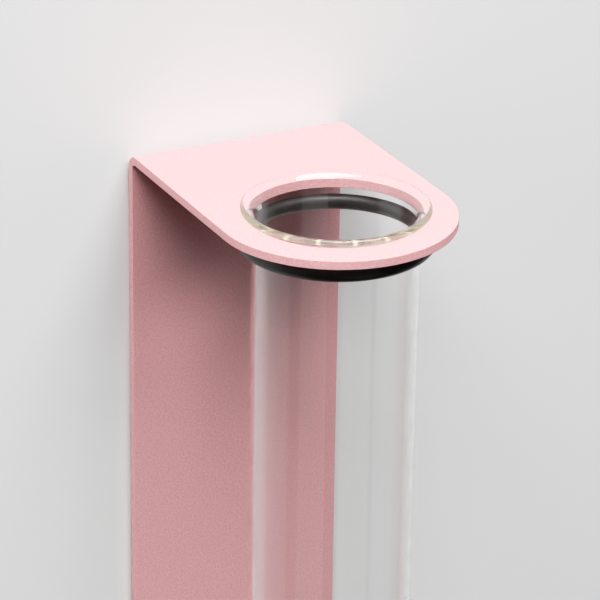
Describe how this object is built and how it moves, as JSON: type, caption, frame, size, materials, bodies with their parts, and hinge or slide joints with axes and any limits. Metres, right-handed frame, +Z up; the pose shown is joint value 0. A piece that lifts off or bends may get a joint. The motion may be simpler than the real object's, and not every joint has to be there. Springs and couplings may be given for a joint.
{
  "type": "wall mounted glass flower tube",
  "caption": "Clear glass test tube vase hung by its flared lip in the round nosed shelf of a folded sheet steel wall bracket, kept in place by a rubber ring.",
  "frame": {"origin": "on the wall plane, midway between the two screw holes of the plate", "axes": "+Z up along the tube, +Y into the wall, the shelf points to -Y, +X to the right of someone facing the wall"},
  "size_m": [0.0574, 0.0833, 0.2222],
  "materials": {
    "pink_powder_coat": "matt fine textured powder coat",
    "clear_glass": "clear, fire polished lip",
    "black_rubber": "satin"
  },
  "bodies": {
    "bracket": {"wall_bracket": "pink_powder_coat"},
    "tube": {"glass_tube": "clear_glass"},
    "ring": {"rubber_ring": "black_rubber"}
  },
  "joints": [
    {"name": "tube_lift", "type": "slide", "parent": "bracket", "child": "tube", "axis": [0, 0, 1], "range_m": [0, 0.206]},
    {"name": "ring_slide", "type": "slide", "parent": "bracket", "child": "ring", "axis": [0, 0, -1], "range_m": [0, 0.2]}
  ]
}
